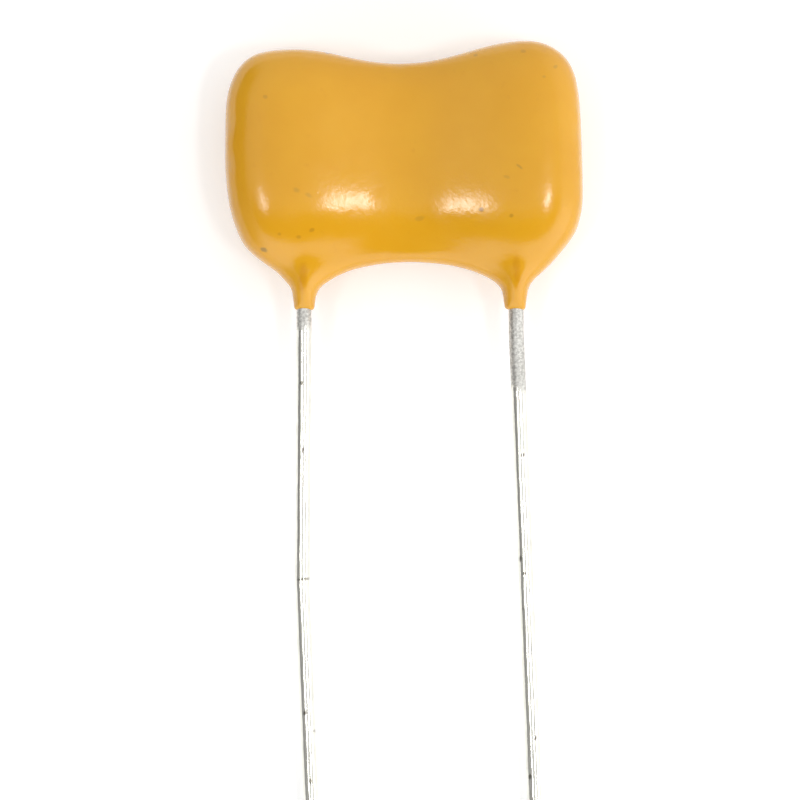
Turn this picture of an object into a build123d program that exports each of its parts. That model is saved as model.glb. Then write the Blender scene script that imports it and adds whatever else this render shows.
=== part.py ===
from build123d import *

import math
import os

# A dipped silvered-mica capacitor with two radial wire leads, in millimetres.
#
# It lies on its back, as it comes to rest on a bench: +Z is up and out of the front face, the leads run
# out along -Y, and X goes from the left lead to the right one. While it is being built the origin is the
# middle of the mica stack, midway between the leads. The last step sets it down on Z = 0 with the origin
# under the middle of its bounding box.
#
# From the inside out: silvered mica plates lie between thin foils. The foils come out at the left end and
# at the right end in turn. At each end they fold over a thick bare mica cover, and a brass clip is closed
# round them. A barrel curled out of the clip's lower edge is crimped and soldered on to the lead wire. One
# dipped coating seals all of it and runs a little way down both leads.

# Mica stack
PLATE_LENGTH = 14.8  # along X
PLATE_WIDTH = 7.6  # along Y
PLATE_THICKNESS = 0.1
PLATE_COUNT = 13  # odd, so that each end gets as many foils as the other
COVER_THICKNESS = 0.25

# Foils
FOIL_THICKNESS = 0.05
FOIL_BEND = 0.06  # inside radius of a fold
FOIL_EDGE_MARGIN = 0.6  # bare mica along the plates' long edges
FOIL_END_MARGIN = 1.2  # bare mica at the end where the foil stays inside the stack
FOIL_TAB_MARGIN = 0.4  # the folded tab stops this far short of the clip's inner edge

# Clips
CLIP_THICKNESS = 0.25
CLIP_BEND = 0.2  # inside radius, and the gap beside the plates' long edges
CLIP_INBOARD = 1.7  # the clip reaches this far from the lead's axis towards the middle
BARREL_LENGTH = 1.85  # below the clip's lower edge
SOLDER_LENGTH = 0.45  # down the wire from the barrel's mouth

# Lead wires
LEAD_DIAMETER = 0.81
LEAD_PITCH = 11.13
LEAD_LENGTH = 31.75  # from the end of the coating to the tip
LEAD_BEND_RADIUS = 16.0
# Where each lead bends, as a distance from the end of the coating, and its lean towards +X from there on
LEAD_BENDS = {
    "left": [(0.8, -0.5), (14.6, 2.2)],
    "right": [(0.8, 2.4)],
}

# Coating walls, over what lies under each
COAT_LEFT_END = 1.9  # past the left foils
COAT_RIGHT_END = 1.27  # past the right foils
COAT_TOP_LEFT = 1.25  # over the left clip's upper edge
COAT_TOP_RIGHT = 1.72  # over the right clip's upper edge
COAT_TOP_MIDDLE = 0.98  # over the plates' upper edge, in the waist between the clips
COAT_BOTTOM = 1.42  # under the clips' lower edge
COAT_FRONT = 0.8  # over the clips' faces, front and back alike
COAT_WAIST_DIP = 0.75  # how much lower the faces lie in the middle
WAIST_HALF_WIDTH = 1.6  # half the width of the low stretch in the middle
WAIST_SLOPE_LENGTH = 2.0  # from the low stretch up on to the ends

# Rounding of the coating
TOP_CORNER_RADIUS = 3.1
WAIST_RADIUS = 6.0  # where the top edge dips between the clips
SIDE_RADIUS = 3.2  # where the side turns in to the slant
SLANT_RADIUS = 1.5  # where the slant turns in to the bottom
SLANT_WIDTH = 1.75  # the slant that cuts off a lower corner, along X
SLANT_HEIGHT = 1.95  # the same slant along Y
EDGE_RADIUS = 1.7  # round the whole outline, front and back
ARC_SHARE = 0.96  # the most of a run between two corners that their arcs may take up

# The coating's funnel round each lead: distance below the bottom edge of the body, then its skin over the
# wire on the side away from the other lead, on the side towards it, and front and back. It starts inside
# the body and ends in a thin lip on the wire.
FUNNEL = [
    (-1.5, 1.45, 1.6, 1.5),
    (-0.75, 1.6, 1.95, 1.35),
    (-0.25, 1.6, 2.15, 1.15),
    (0.07, 1.45, 2.05, 0.9),
    (0.49, 0.98, 1.6, 0.58),
    (0.91, 0.57, 0.92, 0.36),
    (1.33, 0.29, 0.4, 0.24),
    (1.75, 0.17, 0.18, 0.17),
    (2.35, 0.12, 0.12, 0.12),
    (2.5, 0.06, 0.06, 0.06),
]

LEAD_RADIUS = LEAD_DIAMETER / 2
BARREL_RADIUS = LEAD_RADIUS + CLIP_THICKNESS
LEAD_X = {"left": -LEAD_PITCH / 2, "right": LEAD_PITCH / 2}
SIGN = {"left": -1, "right": 1}  # which way each end points along X, and its tabs fold along -Z

FOIL_COUNT = PLATE_COUNT + 1
FOILS_PER_END = FOIL_COUNT // 2
BUNDLE = FOILS_PER_END * FOIL_THICKNESS
STACK_HALF = (PLATE_COUNT * PLATE_THICKNESS + FOIL_COUNT * FOIL_THICKNESS) / 2 + COVER_THICKNESS
PLATE_END = PLATE_LENGTH / 2
CORE_END = PLATE_END + FOIL_BEND + BUNDLE
CLIP_INNER_EDGE = LEAD_PITCH / 2 - CLIP_INBOARD
CLIP_INNER_HALF = PLATE_WIDTH / 2 + CLIP_BEND
CLIP_EDGE = CLIP_INNER_HALF + CLIP_THICKNESS
BARREL_END = -CLIP_EDGE - BARREL_LENGTH

END_HALF = STACK_HALF + BUNDLE + CLIP_THICKNESS + COAT_FRONT
BODY_LEFT = -CORE_END - COAT_LEFT_END
BODY_RIGHT = CORE_END + COAT_RIGHT_END
BODY_BOTTOM = -CLIP_EDGE - COAT_BOTTOM
COATING_END = BODY_BOTTOM - FUNNEL[-1][0]


def block(low_x, high_x, half_y, low_z, high_z):
    """A box that is centred on Y = 0."""
    box = Box(high_x - low_x, 2 * half_y, high_z - low_z)
    return Pos((low_x + high_x) / 2, 0, (low_z + high_z) / 2) * box


def layers():
    """Every layer of the stack from the front down: its name, kind and lowest and highest Z."""
    made = []
    top = STACK_HALF
    for name, kind, thickness in layer_list():
        made.append((name, kind, top - thickness, top))
        top -= thickness
    return made


def layer_list():
    """Name, kind and thickness of every layer, from the front cover to the back one."""
    found = [("mica_cover_front", "mica", COVER_THICKNESS)]
    for number in range(1, FOIL_COUNT + 1):
        end = "left" if number % 2 else "right"
        found.append((f"foil_{end}_{(number + 1) // 2}", end, FOIL_THICKNESS))
        if number <= PLATE_COUNT:
            found.append((f"mica_plate_{number:02d}", "mica", PLATE_THICKNESS))
    found.append(("mica_cover_back", "mica", COVER_THICKNESS))
    return found


def foil(end, low_z, layer):
    """One foil: flat in the stack, out past the plates' end, round it and back over the cover.

    The left foils fold on to the front cover and the right ones on to the back. The foil nearest to
    that cover is layer 0, and each later one goes round the outside of those before it.
    """
    side = SIGN[end]
    half = FOIL_THICKNESS / 2
    flat_z = low_z + half
    wall_x = side * (PLATE_END + FOIL_BEND + layer * FOIL_THICKNESS + half)
    tab_z = -side * (STACK_HALF + layer * FOIL_THICKNESS + half)
    line = FilletPolyline(
        (-side * (PLATE_END - FOIL_END_MARGIN), flat_z),
        (wall_x, flat_z),
        (wall_x, tab_z),
        (side * (CLIP_INNER_EDGE + FOIL_TAB_MARGIN), tab_z),
        radius=[FOIL_BEND + half, FOIL_BEND + layer * FOIL_THICKNESS + half],
    )
    strip = Plane.XZ * trace(line, FOIL_THICKNESS)
    return extrude(strip, PLATE_WIDTH / 2 - FOIL_EDGE_MARGIN, both=True)


def foil_solids():
    """All the foils by name, with each end's foils numbered from the front."""
    made = {}
    for name, kind, low_z, _ in layers():
        if kind == "mica":
            continue
        place = int(name.split("_")[-1]) - 1
        layer = place if kind == "left" else FOILS_PER_END - 1 - place
        made[name] = foil(kind, low_z, layer)
    return made


def mica_solids():
    """The silvered plates and the two bare covers by name."""
    return {
        name: block(-PLATE_END, PLATE_END, PLATE_WIDTH / 2, low_z, high_z)
        for name, kind, low_z, high_z in layers()
        if kind == "mica"
    }


def clip_band(end, grow):
    """The clip's band as a solid bar, as large as its inside plus grow all round."""
    side = SIGN[end]
    inner, outer = side * CLIP_INNER_EDGE, side * CORE_END
    tabs_z = -side * (STACK_HALF + BUNDLE)
    bare_z = side * STACK_HALF
    section = RectangleRounded(
        2 * (CLIP_INNER_HALF + grow),
        abs(tabs_z - bare_z) + 2 * grow,
        CLIP_BEND + grow,
    )
    plane = Plane(origin=(min(inner, outer), 0, (tabs_z + bare_z) / 2), x_dir=(0, 1, 0), z_dir=(1, 0, 0))
    return extrude(plane * section, abs(outer - inner))


def wire_section(end, y, radius):
    """A round section across the lead's axis, facing along -Y."""
    plane = Plane(origin=(LEAD_X[end], y, 0), x_dir=(1, 0, 0), z_dir=(0, -1, 0))
    return plane * Circle(radius)


def barrel(end):
    """The barrel without its bore, reaching up through the band's lower wall."""
    return extrude(wire_section(end, -CLIP_INNER_HALF, BARREL_RADIUS), BARREL_LENGTH + CLIP_THICKNESS)


def clip(end):
    """A brass band round the end of the stack, with the crimp barrel for the lead."""
    band = clip_band(end, CLIP_THICKNESS) - clip_band(end, 0)
    bore = extrude(wire_section(end, -CLIP_INNER_HALF, LEAD_RADIUS), BARREL_LENGTH + CLIP_THICKNESS)
    return band + barrel(end) - bore


def solder(end):
    """The fillet of solder between the barrel's mouth and the wire."""
    tip = BARREL_END - SOLDER_LENGTH
    middle = ((LEAD_RADIUS + BARREL_RADIUS) / 2 - CLIP_THICKNESS * 0.2, (BARREL_END + tip) / 2)
    rim = Vector(BARREL_RADIUS, BARREL_END)
    profile = make_face(
        [
            Line((LEAD_RADIUS, BARREL_END), rim),
            ThreePointArc(rim, middle, (LEAD_RADIUS, tip)),
            Line((LEAD_RADIUS, tip), (LEAD_RADIUS, BARREL_END)),
        ]
    )
    return Pos(LEAD_X[end], 0, 0) * revolve(profile, Axis.Y)


def lead_points(end):
    """The wire's corners: its inner end, the first bend, the later bends and the tip.

    Past the first bend it slopes down evenly, so that the tip lies on the surface under the body.
    """
    bends = LEAD_BENDS[end]
    stations = [place for place, _ in bends] + [LEAD_LENGTH]
    slope = math.asin((END_HALF - LEAD_RADIUS) / (LEAD_LENGTH - stations[0]))
    points = [
        Vector(LEAD_X[end], -CLIP_INNER_HALF, 0),
        Vector(LEAD_X[end], COATING_END - stations[0], 0),
    ]
    for place, (start, lean) in enumerate(bends):
        length = stations[place + 1] - start
        along = Vector(
            math.sin(math.radians(lean)) * math.cos(slope),
            -math.cos(math.radians(lean)) * math.cos(slope),
            -math.sin(slope),
        )
        points.append(points[-1] + along * length)
    return points


def lead(end):
    """The lead wire, from inside the barrel to its cut tip."""
    points = lead_points(end)
    path = FilletPolyline(*points, radius=[LEAD_BEND_RADIUS] * (len(points) - 2))
    return sweep(wire_section(end, points[0].Y, LEAD_RADIUS), path=path)


def radii_that_fit(corners):
    """The closed line's radii, each held to the room that the two runs beside its corner leave it."""
    points = [Vector(*point) for point, _ in corners]
    runs = [after - before for before, after in zip(points, points[1:] + points[:1])]
    turns = [runs[place - 1].get_angle(runs[place]) for place in range(len(points))]
    reaches = [radius * math.tan(math.radians(turn / 2)) for (_, radius), turn in zip(corners, turns)]
    pairs = zip(reaches, reaches[1:] + reaches[:1])
    room = [ARC_SHARE * run.length / (first + second) for run, (first, second) in zip(runs, pairs)]
    return [radius * min(1, room[place - 1], room[place]) for place, (_, radius) in enumerate(corners)]


def body_outline():
    """The body's outline seen from the front, without the funnels."""
    top_left = CLIP_EDGE + COAT_TOP_LEFT
    top_right = CLIP_EDGE + COAT_TOP_RIGHT
    middle = PLATE_WIDTH / 2 + COAT_TOP_MIDDLE
    waist = CLIP_INNER_EDGE / 2
    corners = [
        ((BODY_LEFT, top_left), TOP_CORNER_RADIUS),
        ((-LEAD_PITCH / 2 + CLIP_INBOARD / 2, top_left), WAIST_RADIUS),
        ((-waist, middle), WAIST_RADIUS),
        ((waist / 2, middle), WAIST_RADIUS),
        ((LEAD_PITCH / 2 - CLIP_INBOARD / 2, top_right), WAIST_RADIUS),
        ((BODY_RIGHT, top_right), TOP_CORNER_RADIUS),
        ((BODY_RIGHT, BODY_BOTTOM + SLANT_HEIGHT), SIDE_RADIUS),
        ((BODY_RIGHT - SLANT_WIDTH, BODY_BOTTOM), SLANT_RADIUS),
        ((BODY_LEFT + SLANT_WIDTH, BODY_BOTTOM), SLANT_RADIUS),
        ((BODY_LEFT, BODY_BOTTOM + SLANT_HEIGHT), SIDE_RADIUS),
    ]
    line = FilletPolyline(*[point for point, _ in corners], radius=radii_that_fit(corners), close=True)
    return make_face(line)


def coating_body():
    """The body of the coating: thick over the clips, lower between them, rounded all the way round."""
    low = END_HALF - COAT_WAIST_DIP
    shoulder = WAIST_HALF_WIDTH + WAIST_SLOPE_LENGTH
    upper = [
        (BODY_LEFT - 1, END_HALF),
        (-shoulder, END_HALF),
        (-WAIST_HALF_WIDTH, low),
        (WAIST_HALF_WIDTH, low),
        (shoulder, END_HALF),
        (BODY_RIGHT + 1, END_HALF),
    ]
    lower = [(x, -z) for x, z in reversed(upper)]
    bend = WAIST_SLOPE_LENGTH * 2
    radii = [0, bend, bend, bend, bend, 0]
    profile = make_face(FilletPolyline(*upper, *lower, radius=radii + radii, close=True))
    reach = PLATE_WIDTH * 2
    slab = extrude(Plane.XZ * profile, reach, both=True)
    blank = extrude(body_outline(), END_HALF * 2, both=True) & slab
    walls = [edge for edge in blank.edges() if abs(edge.center().Z) > low / 2]
    return fillet(walls, EDGE_RADIUS)


def funnel(end):
    """The coating's funnel round one lead, from inside the body down to the lip on the wire."""
    sections = []
    for drop, skin_out, skin_in, skin_z in FUNNEL:
        middle = LEAD_X[end] + SIGN[end] * (skin_out - skin_in) / 2
        plane = Plane(origin=(middle, BODY_BOTTOM - drop, 0), x_dir=(1, 0, 0), z_dir=(0, -1, 0))
        sections.append(plane * Ellipse(LEAD_RADIUS + (skin_out + skin_in) / 2, LEAD_RADIUS + skin_z))
    return loft(sections)


def coating(leads, solders):
    """The dipped coating, with the space that the stack, clips, solder and wires fill."""
    outside = coating_body() + funnel("left") + funnel("right")
    inside = block(-PLATE_END, PLATE_END, PLATE_WIDTH / 2, -STACK_HALF, STACK_HALF)
    for end in SIGN:
        inside += clip_band(end, CLIP_THICKNESS)
        inside += barrel(end)
    shell = outside - inside
    for piece in [*leads, *solders]:
        shell -= piece
    return shell


def assembly():
    """Every piece by name, about the middle of the mica stack."""
    leads = {end: lead(end) for end in SIGN}
    solders = {end: solder(end) for end in SIGN}
    pieces = {"coating": coating(leads.values(), solders.values())}
    for end in SIGN:
        pieces[f"lead_{end}"] = leads[end]
        pieces[f"clip_{end}"] = clip(end)
        pieces[f"solder_{end}"] = solders[end]
    return {**pieces, **mica_solids(), **foil_solids()}


def main():
    pieces = assembly()
    box = Compound(children=[piece.solids()[0] for piece in pieces.values()]).bounding_box()
    rest = Pos(-box.center().X, -box.center().Y, -box.min.Z)
    os.makedirs("parts", exist_ok=True)
    for name, piece in pieces.items():
        export_step(rest * piece, f"parts/{name}.step")


main()
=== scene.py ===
import math

import bpy
import numpy as np
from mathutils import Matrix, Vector

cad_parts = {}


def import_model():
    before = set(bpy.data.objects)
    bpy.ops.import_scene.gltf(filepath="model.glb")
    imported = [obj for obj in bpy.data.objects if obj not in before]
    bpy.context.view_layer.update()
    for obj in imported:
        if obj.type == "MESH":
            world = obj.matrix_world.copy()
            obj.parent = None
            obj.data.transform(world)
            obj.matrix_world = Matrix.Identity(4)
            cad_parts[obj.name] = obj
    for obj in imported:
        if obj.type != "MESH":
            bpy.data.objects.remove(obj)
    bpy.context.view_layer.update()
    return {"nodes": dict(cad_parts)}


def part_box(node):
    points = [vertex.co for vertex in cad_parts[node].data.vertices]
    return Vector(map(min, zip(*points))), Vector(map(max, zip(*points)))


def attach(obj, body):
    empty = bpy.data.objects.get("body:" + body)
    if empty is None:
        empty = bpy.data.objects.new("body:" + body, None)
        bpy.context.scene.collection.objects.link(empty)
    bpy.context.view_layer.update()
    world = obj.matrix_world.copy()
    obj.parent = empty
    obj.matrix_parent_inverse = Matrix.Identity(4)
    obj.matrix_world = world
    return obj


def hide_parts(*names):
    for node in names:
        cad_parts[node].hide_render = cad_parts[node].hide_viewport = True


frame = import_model()

MM = 0.001


def middle(node):
    low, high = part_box(node)
    return (Vector(low) + Vector(high)) / 2


# The middle of the mica stack. The shapes below are in millimetres about it, as in the CAD.
CORE = middle("mica_plate_07")
LEAD_X = (middle("solder_right").x - middle("solder_left").x) / 2 / MM
HALF_THICK = (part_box("coating")[1].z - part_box("coating")[0].z) / 2 / MM
COATING_END = (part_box("coating")[0].y - CORE.y) / MM
WIRE_RADIUS = 0.405


def place(points):
    """Millimetres about the core to metres in the row frame."""
    return np.asarray(points, dtype=float) * MM + np.array(CORE)


# ---------------------------------------------------------------- mesh helpers


def new_object(name, verts, faces, smooth=True):
    mesh = bpy.data.meshes.new(name)
    mesh.from_pydata([tuple(v) for v in verts], [], [tuple(int(i) for i in f) for f in faces])
    mesh.update()
    mesh.polygons.foreach_set("use_smooth", [smooth] * len(mesh.polygons))
    obj = bpy.data.objects.new(name, mesh)
    bpy.context.scene.collection.objects.link(obj)
    return obj


def spline_through(points, per_span, closed):
    """A Catmull-Rom curve through the points."""
    pts = np.asarray(points, dtype=float)
    if closed:
        pts = np.vstack([pts[-1], pts, pts[:2]])
    else:
        pts = np.vstack([2 * pts[0] - pts[1], pts, 2 * pts[-1] - pts[-2]])
    t = np.linspace(0, 1, per_span, endpoint=False)[:, None]
    made = []
    for a, b, c, d in zip(pts[:-3], pts[1:-2], pts[2:-1], pts[3:]):
        made.append(
            0.5 * (2 * b + (c - a) * t + (2 * a - 5 * b + 4 * c - d) * t**2 + (3 * b - a - 3 * c + d) * t**3)
        )
    made = np.vstack(made)
    return made if closed else np.vstack([made, pts[-2]])


def ramp(low, high, value):
    """0 below low, 1 above high, smooth between."""
    t = np.clip((value - low) / (high - low), 0, 1)
    return t * t * (3 - 2 * t)


# ---------------------------------------------------------------- the dipped coating

# Its outline seen from the front, clockwise from the middle of the left side.
OUTLINE = [
    (-9.70, -0.30), (-9.70, 1.20), (-9.66, 2.40), (-9.52, 3.35), (-9.20, 4.20), (-8.72, 4.85),
    (-8.05, 5.27), (-7.20, 5.46), (-6.20, 5.52), (-5.20, 5.48), (-4.20, 5.33), (-3.20, 5.11),
    (-2.20, 4.92), (-1.20, 4.81), (-0.20, 4.80), (0.80, 4.88), (1.80, 5.07), (2.80, 5.34),
    (3.80, 5.62), (4.80, 5.85), (5.80, 5.96), (6.70, 5.91), (7.50, 5.61), (8.15, 5.08),
    (8.58, 4.35), (8.80, 3.45), (8.92, 2.40), (8.98, 1.20), (9.03, -0.10), (9.06, -1.40),
    (9.06, -2.40), (8.95, -3.20), (8.72, -3.95), (8.37, -4.55), (7.93, -5.10), (7.42, -5.68),
    (6.92, -6.16), (6.50, -6.56), (6.25, -6.95), (6.15, -7.40), (6.09, -7.80), (6.01, -8.10),
    (5.58, -8.17), (5.05, -8.08), (4.94, -7.80), (4.88, -7.40), (4.74, -6.97), (4.28, -6.55),
    (3.45, -6.16), (2.60, -5.90), (1.70, -5.74), (0.80, -5.66), (0.00, -5.63), (-0.80, -5.66),
    (-1.55, -5.73), (-2.45, -5.89), (-3.30, -6.13), (-4.12, -6.54), (-4.68, -6.95), (-4.92, -7.40),
    (-4.99, -7.80), (-5.07, -8.10), (-5.55, -8.17), (-6.02, -8.10), (-6.10, -7.80), (-6.16, -7.40),
    (-6.27, -6.97), (-6.60, -6.56), (-7.00, -6.15), (-7.60, -5.72), (-8.18, -5.28), (-8.62, -4.84),
    (-8.92, -4.35), (-9.15, -3.80), (-9.35, -3.20), (-9.52, -2.45), (-9.64, -1.40),
]

GRID = 0.1
SKIN_GAP = 0.003  # between the skin's highest point and the CAD's face
STRETCHES = 1600


def signed_distance(xs, ys, loop):
    """Distance to the closed loop, positive inside."""
    px, py = np.meshgrid(xs, ys, indexing="ij")
    p = np.stack([px.ravel(), py.ravel()], 1)
    best = np.full(len(p), 1e9)
    inside = np.zeros(len(p), dtype=bool)
    ends = np.roll(loop, -1, axis=0)
    for a, b in zip(loop, ends):
        d = b - a
        t = np.clip(((p - a) @ d) / (d @ d), 0, 1)
        gap = p - (a + t[:, None] * d)
        best = np.minimum(best, (gap * gap).sum(1))
        crosses = (a[1] > p[:, 1]) != (b[1] > p[:, 1])
        if a[1] != b[1]:
            at = a[0] + (p[:, 1] - a[1]) * d[0] / d[1]
            inside ^= crosses & (p[:, 0] < at)
    dist = np.sqrt(best) * np.where(inside, 1, -1)
    return dist.reshape(px.shape), px, py


def plateau(x, y):
    """How thick each part of the coating wants to be, as a half thickness in millimetres."""
    waist = np.exp(-(((x + 0.1) / 3.25) ** 2) * 0.5)
    body = 2.66 - 1.15 * waist
    body = body - 0.062 * np.clip(-1.7 - y, 0, 4) ** 2
    body = body - 0.032 * np.clip(np.abs(x + 0.1) - 5.0, 0, 4) ** 2
    web = 1.0
    return body + (web - body) * ramp(-4.7 + 1.0 * waist, -6.3, y)


def crispness(x, y):
    """How soon the coating reaches that thickness from its edge: high is blunt, 2 is round."""
    body = 8.0 + 3.0 * ramp(-5.0, -8.0, x)
    return body + (2.0 - body) * ramp(-4.8, -6.3, y)


def pillow(dist, x, y):
    """The square of the coating's half thickness: a skin stretched over the outline and blown up."""
    inside = dist > 0
    t = plateau(x, y)
    crisp = crispness(x, y)
    near = np.exp(-(((np.abs(x) - LEAD_X) / 0.32) ** 2) * 0.5)
    load = crisp + 4.5 * near * ramp(-5.2, -6.6, y) * ramp(-7.6, -6.9, y)
    k = crisp / t**2
    u = np.where(inside, 1.0, 0.0)
    h2 = GRID**2
    for _ in range(STRETCHES):
        around = np.zeros_like(u)
        around[1:-1, 1:-1] = u[2:, 1:-1] + u[:-2, 1:-1] + u[1:-1, 2:] + u[1:-1, :-2]
        u = np.where(inside, (around + h2 * load) / (4 + h2 * k), 0.0)
    return u


def extend(field, known, steps):
    """Carries a field outwards from where it is known, by averaging."""
    field = np.where(known, field, 0.0)
    weight = known.astype(float)
    for _ in range(steps):
        f = field * weight
        fs = f[1:-1, 1:-1] + f[2:, 1:-1] + f[:-2, 1:-1] + f[1:-1, 2:] + f[1:-1, :-2]
        w = weight
        ws = w[1:-1, 1:-1] + w[2:, 1:-1] + w[:-2, 1:-1] + w[1:-1, 2:] + w[1:-1, :-2]
        grown = np.where(ws > 0, fs / np.maximum(ws, 1e-9), 0)
        inner = known[1:-1, 1:-1]
        field[1:-1, 1:-1] = np.where(inner, field[1:-1, 1:-1], grown)
        weight[1:-1, 1:-1] = np.where(inner, 1.0, (ws > 0).astype(float))
    return field


def blur(field, times):
    """The field smoothed that many times with its neighbours."""
    for _ in range(times):
        p = np.pad(field, 1, mode="edge")
        field = (4 * field + 2 * (p[2:, 1:-1] + p[:-2, 1:-1] + p[1:-1, 2:] + p[1:-1, :-2])
                 + p[2:, 2:] + p[2:, :-2] + p[:-2, 2:] + p[:-2, :-2]) / 16
    return field


def sample(field, gx, gy):
    """The field and its slopes at grid places gx, gy, by cubic interpolation."""
    ix = np.clip(np.floor(gx).astype(int), 1, field.shape[0] - 3)
    iy = np.clip(np.floor(gy).astype(int), 1, field.shape[1] - 3)
    fx, fy = gx - ix, gy - iy

    def weights(t):
        t2, t3 = t**2, t**3
        w = np.stack([-t3 + 2 * t2 - t, 3 * t3 - 5 * t2 + 2, -3 * t3 + 4 * t2 + t, t3 - t2]) / 2
        d = np.stack([-3 * t2 + 4 * t - 1, 9 * t2 - 10 * t, -9 * t2 + 8 * t + 1, 3 * t2 - 2 * t]) / 2
        return w, d

    wx, dx = weights(fx)
    wy, dy = weights(fy)
    value = slope_x = slope_y = 0
    for i in range(4):
        for j in range(4):
            v = field[ix + i - 1, iy + j - 1]
            value = value + wx[i] * wy[j] * v
            slope_x = slope_x + dx[i] * wy[j] * v
            slope_y = slope_y + wx[i] * dy[j] * v
    return value, slope_x / GRID, slope_y / GRID


def surface_net(volume, origin, pitch):
    """Quads round where the volume is positive."""
    inside = volume > 0
    corners = [(i, j, k) for i in (0, 1) for j in (0, 1) for k in (0, 1)]
    shape = tuple(n - 1 for n in volume.shape)

    def corner(array, c):
        return array[c[0]:c[0] + shape[0], c[1]:c[1] + shape[1], c[2]:c[2] + shape[2]]

    count = sum(corner(inside, c).astype(np.int8) for c in corners)
    mixed = (count > 0) & (count < 8)
    total = np.zeros(shape + (3,), dtype=np.float32)
    number = np.zeros(shape, dtype=np.float32)
    for axis in range(3):
        for c in corners:
            if c[axis]:
                continue
            d = list(c)
            d[axis] = 1
            va, vb = corner(volume, c), corner(volume, d)
            cut = (va > 0) != (vb > 0)
            t = np.where(cut, va / np.where(cut, va - vb, 1), 0)
            for a in range(3):
                total[..., a] += np.where(cut, c[a] + (t if a == axis else 0), 0)
            number += cut
    index = np.full(shape, -1, dtype=np.int64)
    cells = np.argwhere(mixed)
    index[mixed] = np.arange(len(cells))
    verts = (cells + total[mixed] / number[mixed][:, None]) * pitch + origin
    faces = []
    for axis in range(3):
        a, b = [(1, 2), (2, 0), (0, 1)][axis]
        low = [slice(None)] * 3
        high = [slice(None)] * 3
        low[axis], high[axis] = slice(0, -1), slice(1, None)
        s0, s1 = inside[tuple(low)], inside[tuple(high)]
        for first, flip in ((s0 & ~s1, False), (~s0 & s1, True)):
            at = np.argwhere(first)
            step_a, step_b = np.zeros(3, int), np.zeros(3, int)
            step_a[a], step_b[b] = 1, 1
            ring = [at - step_a - step_b, at - step_b, at, at - step_a]
            ids = [index[r[:, 0], r[:, 1], r[:, 2]] for r in ring]
            quad = np.stack(ids[::-1] if flip else ids, 1)
            faces.append(quad)
    return verts, np.vstack(faces)


def coating_mesh():
    """The skin's points and faces, in millimetres about the core."""
    loop = spline_through(OUTLINE, 8, closed=True)
    xs = np.arange(-10.6, 10.0, GRID)
    ys = np.arange(-9.1, 6.9, GRID)
    dist, x, y = signed_distance(xs, ys, loop)
    u = pillow(dist, x, y)
    known = dist > 0.5 * GRID
    steep = np.where(known, u / np.maximum(dist, 1e-6), 0)
    steep = extend(steep, known, 12)
    near_edge = 1 - ramp(0.3, 0.8, dist)
    steep = steep + (blur(steep, 6) - steep) * near_edge
    u = np.where(dist < 1.2, steep * dist, u)
    u = u + (blur(u, 4) - u) * ramp(0.2, 0.5, dist)
    u *= (HALF_THICK - SKIN_GAP) ** 2 / u.max()
    zs = np.arange(-2.95, 3.0, GRID)
    volume = (u[:, :, None] - zs[None, None, :] ** 2).astype(np.float32)
    verts, faces = surface_net(volume, np.array([xs[0], ys[0], zs[0]]), GRID)
    for _ in range(3):
        gx, gy = (verts[:, 0] - xs[0]) / GRID, (verts[:, 1] - ys[0]) / GRID
        value, sx, sy = sample(u, gx, gy)
        f = value - verts[:, 2] ** 2
        g = np.stack([sx, sy, -2 * verts[:, 2]], 1)
        step = f / np.maximum((g * g).sum(1), 0.05)
        verts = verts - np.clip(step, -0.05, 0.05)[:, None] * g
    return verts, faces


skin_points, skin_faces = coating_mesh()
coating = new_object("coating_skin", place(skin_points), skin_faces)


# ---------------------------------------------------------------- the lead wires

# Each wire's bends: how far past the coating's end, and the lean towards +X from there on, in degrees.
BENDS = {
    "left": [(0.8, -0.5), (14.6, 2.2)],
    "right": [(0.8, 2.4)],
}
LEAD_LENGTH = 31.75
BEND_RADIUS = 16.0
WIRE_START = -4.2  # inside the coating, about the core
WIRE_STEP = 0.11
TILT = math.asin((HALF_THICK - WIRE_RADIUS) / (LEAD_LENGTH - BENDS["left"][0][0]))


def lead_line(end):
    """The wire's centre line: straight runs joined by arcs, from inside the coating to the tip."""
    x = -LEAD_X if end == "left" else LEAD_X
    stations = [b[0] for b in BENDS[end]] + [LEAD_LENGTH]
    corners = [np.array([x, WIRE_START, 0.0]), np.array([x, COATING_END - stations[0], 0.0])]
    for i, (start, lean) in enumerate(BENDS[end]):
        lean = math.radians(lean)
        flat = math.cos(TILT)
        way = np.array([math.sin(lean) * flat, -math.cos(lean) * flat, -math.sin(TILT)])
        corners.append(corners[-1] + way * (stations[i + 1] - start))
    made = [corners[0]]
    for before, at, after in zip(corners[:-2], corners[1:-1], corners[2:]):
        a = (before - at) / np.linalg.norm(before - at)
        b = (after - at) / np.linalg.norm(after - at)
        turn = math.pi - math.acos(float(np.clip(a @ b, -1, 1)))
        reach = BEND_RADIUS * math.tan(turn / 2)
        p, q = at + a * reach, at + b * reach
        for t in np.linspace(0, 1, 9):
            made.append((1 - t) ** 2 * p + 2 * t * (1 - t) * at + t**2 * q)
    made.append(corners[-1])
    made = np.array(made)
    gaps = np.linalg.norm(np.diff(made, axis=0), axis=1)
    along = np.concatenate([[0], np.cumsum(gaps)])
    steps = np.linspace(0, along[-1], int(along[-1] / WIRE_STEP))
    return np.stack([np.interp(steps, along, made[:, i]) for i in range(3)], 1), steps


def bumps(seed, length, size, strength, rows, turns):
    """Smooth unevenness over a wire: rows along it by turns round it."""
    rng = np.random.default_rng(seed)
    coarse = rng.normal(0, 1, (int(length / size) + 4, max(4, turns)))
    at = np.linspace(1, coarse.shape[0] - 3, rows)
    low = np.floor(at).astype(int)
    t = (at - low)[:, None]
    t = t * t * (3 - 2 * t)
    return (coarse[low] * (1 - t) + coarse[low + 1] * t) * strength


SEGMENTS = 40
WIRE_SKIN = 0.012  # how far inside the CAD's wire the uneven one lies on average
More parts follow.
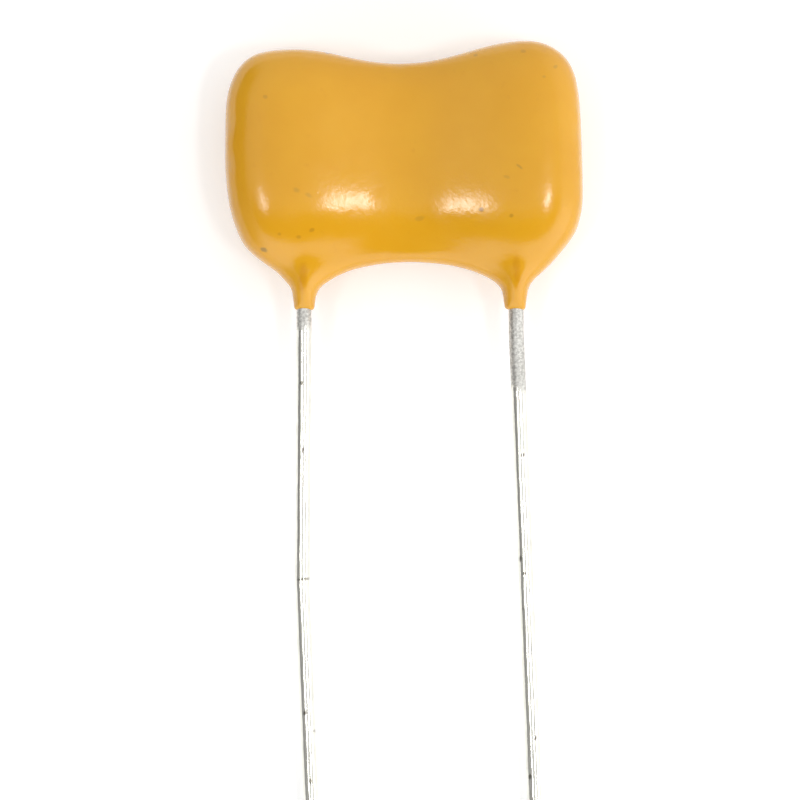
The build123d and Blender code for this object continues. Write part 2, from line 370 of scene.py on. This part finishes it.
# Unevenness: size along the wire, strength, and how many times round.
UNEVEN = ((3.0, 0.004, 6), (1.1, 0.003, 8), (0.45, 0.0016, 10))
TIP_ROUNDING = 0.05


def wire(end, seed, rough_to):
    """One lead wire: smoothly uneven, and grainy from the coating to rough_to millimetres past it."""
    line, steps = lead_line(end)
    way = np.gradient(line, axis=0)
    way /= np.linalg.norm(way, axis=1)[:, None]
    up = np.array([0.0, 0.0, 1.0])
    side = np.cross(way, up)
    side /= np.linalg.norm(side, axis=1)[:, None]
    top = np.cross(side, way)
    rows = len(line)
    angle = np.linspace(0, 2 * math.pi, SEGMENTS, endpoint=False)
    radius = np.full((rows, SEGMENTS), WIRE_RADIUS - WIRE_SKIN)
    for size, strength, turns in UNEVEN:
        coarse = bumps(seed + turns, steps[-1], size, strength, rows, turns)
        where = angle / (2 * math.pi) * turns
        low = np.floor(where).astype(int) % turns
        t = where - np.floor(where)
        t = t * t * (3 - 2 * t)
        radius += coarse[:, low] * (1 - t) + coarse[:, (low + 1) % turns] * t
    out = steps - (WIRE_START - COATING_END)
    rng = np.random.default_rng(seed)
    grain = rng.normal(0, 0.008, radius.shape)
    grain = (grain + np.roll(grain, 1, 0) + np.roll(grain, 1, 1) + np.roll(grain, -1, 1)) / 3
    fade = 1 - ramp(rough_to - 0.6, rough_to, out)
    radius += grain * fade[:, None]
    radius = np.minimum(radius, WIRE_RADIUS)
    rings = (line[:, None, :]
             + radius[:, :, None] * (np.cos(angle)[None, :, None] * side[:, None, :]
                                     + np.sin(angle)[None, :, None] * top[:, None, :]))
    last = rings[-1]
    tip_in = last + (line[-1] - last) * 0.16
    rings = np.concatenate([rings[:-1], [last - way[-1] * TIP_ROUNDING], [tip_in]])
    verts = rings.reshape(-1, 3)
    n = len(rings)
    faces = []
    for i in range(n - 1):
        for j in range(SEGMENTS):
            k = (j + 1) % SEGMENTS
            here, there = i * SEGMENTS, (i + 1) * SEGMENTS
            faces.append((here + j, here + k, there + k, there + j))
    verts = np.vstack([verts, line[0], line[-1]])
    a, b = n * SEGMENTS, n * SEGMENTS + 1
    for j in range(SEGMENTS):
        k = (j + 1) % SEGMENTS
        faces.append((a, k, j))
        faces.append((b, (n - 1) * SEGMENTS + j, (n - 1) * SEGMENTS + k))
    return new_object(f"wire_{end}", place(verts), faces)


wires = {"left": wire("left", 11, 1.4), "right": wire("right", 23, 4.6)}


# ---------------------------------------------------------------- materials


class Tree:
    """A little help with the nodes of a material or a world."""

    def __init__(self, owner):
        owner.use_nodes = True
        self.owner = owner
        self.nodes = owner.node_tree.nodes
        self.links = owner.node_tree.links
        self.shader = self.nodes.get("Principled BSDF")
        self.out = self.nodes.get("Material Output")
        self.where = self.nodes.new("ShaderNodeTexCoord").outputs["Object"]

    def link(self, source, target):
        if isinstance(source, (int, float)):
            target.default_value = source
        elif isinstance(source, tuple):
            target.default_value = source if len(source) != 3 or target.type == "VECTOR" else (*source, 1)
        else:
            self.links.new(source, target)

    def math(self, how, a, b=0.0, c=0.0, clamp=False):
        node = self.nodes.new("ShaderNodeMath")
        node.operation = how
        node.use_clamp = clamp
        for value, socket in zip((a, b, c), node.inputs):
            self.link(value, socket)
        return node.outputs[0]

    def vector(self, how, a, b=(0, 0, 0)):
        node = self.nodes.new("ShaderNodeVectorMath")
        node.operation = how
        self.link(a, node.inputs[0])
        self.link(b, node.inputs[1])
        return node.outputs["Value" if how in ("LENGTH", "DISTANCE", "DOT_PRODUCT") else "Vector"]

    def noise(self, scale, detail=3, roughness=0.5, distortion=0.0, where=None):
        node = self.nodes.new("ShaderNodeTexNoise")
        node.inputs["Scale"].default_value = scale
        node.inputs["Detail"].default_value = detail
        node.inputs["Roughness"].default_value = roughness
        node.inputs["Distortion"].default_value = distortion
        self.link(where or self.where, node.inputs["Vector"])
        return node.outputs["Fac"]

    def span(self, value, low, high, to_low=0.0, to_high=1.0, smooth=True):
        node = self.nodes.new("ShaderNodeMapRange")
        node.interpolation_type = "SMOOTHSTEP" if smooth else "LINEAR"
        for socket, v in zip(node.inputs, (value, low, high, to_low, to_high)):
            self.link(v, socket)
        return node.outputs[0]

    def mix(self, amount, a, b):
        node = self.nodes.new("ShaderNodeMix")
        node.data_type = "RGBA"
        self.link(amount, node.inputs["Factor"])
        self.link(a, node.inputs[6])
        self.link(b, node.inputs[7])
        return node.outputs[2]

    def bump(self, height, strength, distance, normal=None):
        node = self.nodes.new("ShaderNodeBump")
        node.inputs["Strength"].default_value = strength
        node.inputs["Distance"].default_value = distance
        self.link(height, node.inputs["Height"])
        if normal is not None:
            self.link(normal, node.inputs["Normal"])
        return node.outputs[0]

    def split(self, vector):
        node = self.nodes.new("ShaderNodeSeparateXYZ")
        self.link(vector, node.inputs[0])
        return node.outputs

    def set(self, **values):
        for name, value in values.items():
            self.link(value, self.shader.inputs[name.replace("_", " ")])


def paint(obj, material):
    """Gives the whole object one material."""
    if obj.material_slots:
        for s in obj.material_slots:
            s.material = material
    else:
        obj.data.materials.append(material)


def at(x, y):
    """A spot on the front in the row frame, in metres, from millimetres about the core."""
    return (CORE.x + x * MM, CORE.y + y * MM, 0.0)


# Marks on the front of the coating: place, half length and half width in mm, direction in degrees, colour
# and strength. The first two are painted shade: a darker streak down the coat over each wire, standing in
# for the ridge's darker reflection there.
MARKS_AND_PAINTED_SHADE = [
    # painted shade: the darker streak over each wire, not a colour of the coat
    ((-5.58, -6.45), 0.90, 0.25, 88, (0.60, 0.235, 0.004), 0.45),
    ((5.56, -6.10), 1.10, 0.25, 92, (0.60, 0.235, 0.004), 0.45),
    ((3.68, -2.97), 0.15, 0.14, 0, (0.34, 0.15, 0.004), 1.00),
    ((5.67, -0.79), 0.26, 0.09, -40, (0.42, 0.22, 0.02), 0.55),
    ((4.99, -1.31), 0.20, 0.09, -20, (0.50, 0.26, 0.02), 0.40),
    ((5.25, -3.31), 0.13, 0.12, 10, (0.42, 0.20, 0.01), 0.55),
    ((0.52, -3.41), 0.26, 0.13, 15, (0.50, 0.26, 0.02), 0.40),
    ((-5.88, -2.00), 0.28, 0.20, -20, (0.46, 0.25, 0.02), 0.45),
    ((-5.25, -2.26), 0.26, 0.14, -30, (0.46, 0.25, 0.02), 0.40),
    ((-7.62, -5.02), 0.22, 0.13, -20, (0.30, 0.17, 0.03), 0.75),
    ((-6.77, -4.25), 0.13, 0.11, 0, (0.45, 0.20, 0.01), 0.45),
    ((-5.78, -4.41), 0.16, 0.12, 0, (0.45, 0.20, 0.01), 0.45),
    ((-5.09, -4.04), 0.17, 0.11, 20, (0.42, 0.19, 0.01), 0.50),
    ((-7.50, 2.83), 0.13, 0.11, 0, (0.45, 0.22, 0.02), 0.40),
    ((-4.31, 5.30), 0.14, 0.11, 0, (0.25, 0.12, 0.01), 0.90),
    ((-9.03, 4.85), 0.45, 0.22, 45, (0.42, 0.34, 0.24), 0.45),
    ((3.41, 5.09), 0.14, 0.10, 0, (0.45, 0.24, 0.03), 0.55),
    ((5.88, 5.25), 0.16, 0.11, 0, (0.45, 0.24, 0.03), 0.40),
    ((6.93, 3.89), 0.13, 0.10, 0, (0.45, 0.24, 0.03), 0.35),
    ((7.56, 4.46), 0.16, 0.12, 30, (0.45, 0.24, 0.03), 0.45),
]

# Nicks in the tin on the upper side of the wires, the same way.
NICKS = [
    ((-5.67, -11.97), 0.14, 0.10, 80, (0.10, 0.09, 0.07), 0.9),
    ((-5.62, -15.49), 0.22, 0.08, 80, (0.14, 0.12, 0.09), 0.8),
    ((-5.60, -22.30), 0.40, 0.10, 5, (0.22, 0.20, 0.15), 0.8),
    ((-5.55, -29.40), 0.16, 0.12, 60, (0.12, 0.10, 0.08), 0.8),
    ((-5.25, -33.00), 0.22, 0.09, 90, (0.16, 0.14, 0.10), 0.8),
    ((5.93, -15.75), 0.16, 0.10, 80, (0.12, 0.10, 0.08), 0.9),
    ((5.83, -21.20), 0.20, 0.08, 85, (0.16, 0.14, 0.10), 0.8),
    ((6.04, -22.00), 0.12, 0.10, 20, (0.12, 0.10, 0.08), 0.9),
    ((6.62, -30.75), 0.18, 0.10, 85, (0.12, 0.10, 0.08), 0.9),
    ((6.35, -32.80), 0.16, 0.09, 80, (0.16, 0.14, 0.10), 0.8),
]


def marked(t, base, marks, ragged_by, front):
    """The base colour with the marks painted on where front is 1."""
    for place_mm, half_long, half_wide, turn, colour, strength in marks:
        x, y, _ = t.split(t.vector("SUBTRACT", t.where, at(*place_mm)))
        c, s = math.cos(math.radians(turn)), math.sin(math.radians(turn))
        long_x, long_y = c / (half_long * MM), s / (half_long * MM)
        wide_x, wide_y = -s / (half_wide * MM), c / (half_wide * MM)
        along = t.math("ADD", t.math("MULTIPLY", x, long_x), t.math("MULTIPLY", y, long_y))
        across = t.math("ADD", t.math("MULTIPLY", x, wide_x), t.math("MULTIPLY", y, wide_y))
        square = t.math("ADD", t.math("MULTIPLY", along, along), t.math("MULTIPLY", across, across))
        far = t.math("SQRT", square)
        far = t.math("ADD", far, t.math("MULTIPLY", t.math("SUBTRACT", ragged_by, 0.5), 1.6))
        amount = t.math("MULTIPLY", t.span(far, 1.15, 0.35, 0, strength), front)
        base = t.mix(amount, base, colour)
    return base


def coating_material():
    """Glossy dipped epoxy: a little uneven in colour, with a slight orange peel and fine pits."""
    t = Tree(bpy.data.materials.new("coating_epoxy"))
    broad = t.noise(260, 3, 0.55)
    fine = t.noise(1500, 3, 0.6)
    base = t.mix(t.span(broad, 0.3, 0.7), (0.745, 0.356, 0.009), (0.775, 0.382, 0.012))
    base = t.mix(t.span(fine, 0.62, 0.78, 0, 0.3), base, (0.66, 0.295, 0.008))
    front = t.span(t.split(t.where)[2], CORE.z, CORE.z + 0.0004)
    base = marked(t, base, MARKS_AND_PAINTED_SHADE, fine, front)
    peel = t.noise(900, 2, 0.5)
    pits = t.noise(4200, 2, 0.6)
    normal = t.bump(peel, 0.06, 0.0002)
    normal = t.bump(pits, 0.12, 0.00005, normal)
    t.set(
        Base_Color=base,
        Roughness=t.span(t.noise(700, 2, 0.5), 0.3, 0.7, 0.15, 0.21),
        IOR=1.55,
        Normal=normal,
        Subsurface_Weight=0.06,
        Subsurface_Scale=0.0004,
        Subsurface_Radius=(1.0, 0.45, 0.12),
    )
    return t.owner


def wire_material(name, rough_to):
    """Tinned wire: bright with long draw marks and small dark nicks, dull grey and grainy by the coating."""
    t = Tree(bpy.data.materials.new(name))
    x, y, z = t.split(t.where)
    stretched = t.nodes.new("ShaderNodeMapping")
    stretched.inputs["Scale"].default_value = (1.0, 0.12, 1.0)
    t.link(t.where, stretched.inputs["Vector"])
    long_marks = t.noise(5200, 3, 0.6, where=stretched.outputs[0])
    blotch = t.noise(900, 3, 0.6)
    grain = t.noise(7000, 3, 0.7)
    edge = CORE.y + COATING_END * MM
    wander = t.math("MULTIPLY", t.math("SUBTRACT", t.noise(1500, 2), 0.5), 0.0012)
    dull = t.span(t.math("ADD", y, wander), edge - (rough_to - 0.2) * MM, edge - (rough_to - 0.7) * MM)
    colour = t.mix(t.span(blotch, 0.35, 0.7), (0.90, 0.89, 0.82), (0.80, 0.79, 0.72))
    colour = t.mix(t.span(long_marks, 0.58, 0.75, 0, 0.45), colour, (0.60, 0.58, 0.51))
    nick = t.span(t.noise(1300, 2, 0.5, 1.0), 0.72, 0.78, 0, 0.6)
    colour = t.mix(nick, colour, (0.25, 0.23, 0.18))
    colour = marked(t, colour, NICKS, grain, 1.0)
    grey = t.mix(t.span(grain, 0.35, 0.65), (0.46, 0.45, 0.42), (0.76, 0.75, 0.71))
    colour = t.mix(dull, colour, grey)
    rough = t.math("ADD", t.span(blotch, 0.3, 0.7, 0.14, 0.24), t.math("MULTIPLY", dull, 0.28))
    coarse = t.math("MULTIPLY", grain, t.math("MULTIPLY", dull, 1.5))
    height = t.math("ADD", t.math("MULTIPLY", long_marks, 0.5), coarse)
    t.set(Base_Color=colour, Metallic=1.0, Roughness=rough, Normal=t.bump(height, 0.35, 0.00004))
    return t.owner


def mica_material(name, silvered):
    """Mica: silvered on both faces, or bare, amber and clear with dark specks."""
    t = Tree(bpy.data.materials.new(name))
    flakes = t.noise(420, 4, 0.6, 0.4)
    speck = t.noise(2600, 2, 0.6)
    if silvered:
        colour = t.mix(t.span(flakes, 0.35, 0.65), (0.70, 0.69, 0.65), (0.80, 0.79, 0.75))
        t.set(Base_Color=colour, Metallic=0.8, Roughness=t.span(speck, 0.3, 0.7, 0.35, 0.5))
    else:
        colour = t.mix(t.span(flakes, 0.35, 0.65), (0.55, 0.42, 0.24), (0.68, 0.56, 0.36))
        colour = t.mix(t.span(speck, 0.66, 0.74, 0, 0.7), colour, (0.30, 0.17, 0.07))
        t.set(Base_Color=colour, Roughness=0.16, IOR=1.58, Alpha=0.75)
    t.set(Normal=t.bump(flakes, 0.15, 0.00003))
    return t.owner


def metal_material(name, low, high, rough, scale, stretch):
    """Formed metal with rolling marks along X."""
    t = Tree(bpy.data.materials.new(name))
    mapping = t.nodes.new("ShaderNodeMapping")
    mapping.inputs["Scale"].default_value = stretch
    t.link(t.where, mapping.inputs["Vector"])
    lines = t.noise(scale, 4, 0.6, where=mapping.outputs[0])
    blotch = t.noise(500, 3, 0.6)
    colour = t.mix(t.span(blotch, 0.3, 0.7), low, high)
    t.set(
        Base_Color=colour,
        Metallic=1.0,
        Roughness=t.span(lines, 0.3, 0.7, rough - 0.06, rough + 0.08),
        Normal=t.bump(lines, 0.2, 0.00002),
    )
    return t.owner


coating_look = coating_material()
paint(coating, coating_look)
for end, rough_to in (("left", 1.3), ("right", 4.5)):
    paint(wires[end], wire_material(f"tinned_wire_{end}", rough_to))

looks = {
    "mica_plate": mica_material("silvered_mica", True),
    "mica_cover": mica_material("bare_mica", False),
    "foil": metal_material("tin_lead_foil", (0.52, 0.53, 0.55), (0.64, 0.64, 0.66), 0.38, 3000, (1, 0.1, 1)),
    "clip": metal_material("clip_brass", (0.74, 0.52, 0.22), (0.84, 0.63, 0.30), 0.26, 4000, (0.1, 1, 1)),
    "solder": metal_material("solder_fillet", (0.62, 0.62, 0.62), (0.74, 0.74, 0.73), 0.22, 2500, (1, 1, 1)),
}
for node, obj in frame["nodes"].items():
    for start, look in looks.items():
        if node.startswith(start):
            paint(obj, look)

# ---------------------------------------------------------------- how it all goes together

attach(coating, "root")
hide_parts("coating")
for end, piece in wires.items():
    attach(piece, "root")
    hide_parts(f"lead_{end}")
for node in ("coating", "lead_left", "lead_right"):
    paint(frame["nodes"][node], coating_look if node == "coating" else wires[node[5:]].data.materials[0])


# ---------------------------------------------------------------- floor, light and camera


def plain_floor():
    """White paper under the part, which still takes its shadow."""
    size = 2.0
    floor = new_object(
        "floor",
        [(-size, -size, 0), (size, -size, 0), (size, size, 0), (-size, size, 0)],
        [(0, 1, 2, 3)],
    )
    floor.location.z = -0.00001
    t = Tree(bpy.data.materials.new("white_paper"))
    t.set(Base_Color=(0.88, 0.88, 0.88), Roughness=0.9)
    t.shader.inputs["Specular IOR Level"].default_value = 0.1
    path = t.nodes.new("ShaderNodeLightPath")
    seen = t.math("MAXIMUM", path.outputs["Is Camera Ray"], path.outputs["Is Glossy Ray"])
    seen = t.math("MAXIMUM", seen, path.outputs["Is Transmission Ray"])
    glow = t.nodes.new("ShaderNodeEmission")
    t.link(t.math("MULTIPLY", seen, 0.30), glow.inputs["Strength"])
    both = t.nodes.new("ShaderNodeAddShader")
    t.links.new(t.shader.outputs[0], both.inputs[0])
    t.links.new(glow.outputs[0], both.inputs[1])
    t.links.new(both.outputs[0], t.out.inputs["Surface"])
    paint(floor, t.owner)
    return floor


def lamp(name, direction, distance, size, power):
    """A softbox that looks at the body from that direction."""
    data = bpy.data.lights.new(name, "AREA")
    data.shape = "RECTANGLE"
    data.size, data.size_y = size
    data.energy = power
    obj = bpy.data.objects.new(name, data)
    way = Vector(direction).normalized()
    obj.location = CORE + way * distance
    obj.rotation_mode = "QUATERNION"
    obj.rotation_quaternion = way.to_track_quat("Z", "Y")
    bpy.context.scene.collection.objects.link(obj)
    return obj


def world():
    """A plain studio: white behind, low in front and at the right, a dim ring above it, pale overhead."""
    made = bpy.data.worlds.new("studio")
    bpy.context.scene.world = made
    t = Tree(made)
    where = t.nodes["Texture Coordinate"].outputs["Generated"]
    x, y, z = t.split(where)
    low = t.span(z, 0.70, 0.58)
    front = t.span(y, 0.02, -0.35)
    left = t.math("MULTIPLY", t.span(x, -0.35, -0.75), low)
    right = t.math("MULTIPLY", t.span(x, 0.30, 0.70), low)
    overhead = t.span(z, 0.90, 0.97)
    light = t.math("ADD", 0.88, t.math("MULTIPLY", front, -0.78))
    light = t.math("ADD", light, t.math("MULTIPLY", t.math("MULTIPLY", front, low), 1.65))
    light = t.math("MULTIPLY", light, t.math("SUBTRACT", 1.0, t.math("MULTIPLY", left, 0.78)))
    light = t.math("ADD", light, t.math("MULTIPLY", right, 0.32))
    level = t.mix(overhead, light, (0.78, 0.78, 0.78))
    t.link(level, t.nodes["Background"].inputs["Color"])
    t.nodes["Background"].inputs["Strength"].default_value = 1.0


plain_floor()
lamp("lamp_left", (-0.42, -0.21, 0.95), 1.2, (0.22, 0.09), 1.35)
lamp("lamp_right", (0.42, -0.18, 0.95), 1.2, (0.22, 0.09), 1.70)
world()

# The camera looks straight down. 42 mm of the body's middle plane fill the frame.
camera_data = bpy.data.cameras.new("camera")
camera_data.lens = 150
camera_data.sensor_width = 36
camera_data.clip_start = 0.01
camera_data.clip_end = 10
camera = bpy.data.objects.new("camera", camera_data)
camera.location = CORE + Vector((-0.525, -12.86, 42.0 / 36 * 150)) * MM
bpy.context.scene.collection.objects.link(camera)
bpy.context.scene.camera = camera
bpy.context.scene.view_settings.view_transform = "Standard"
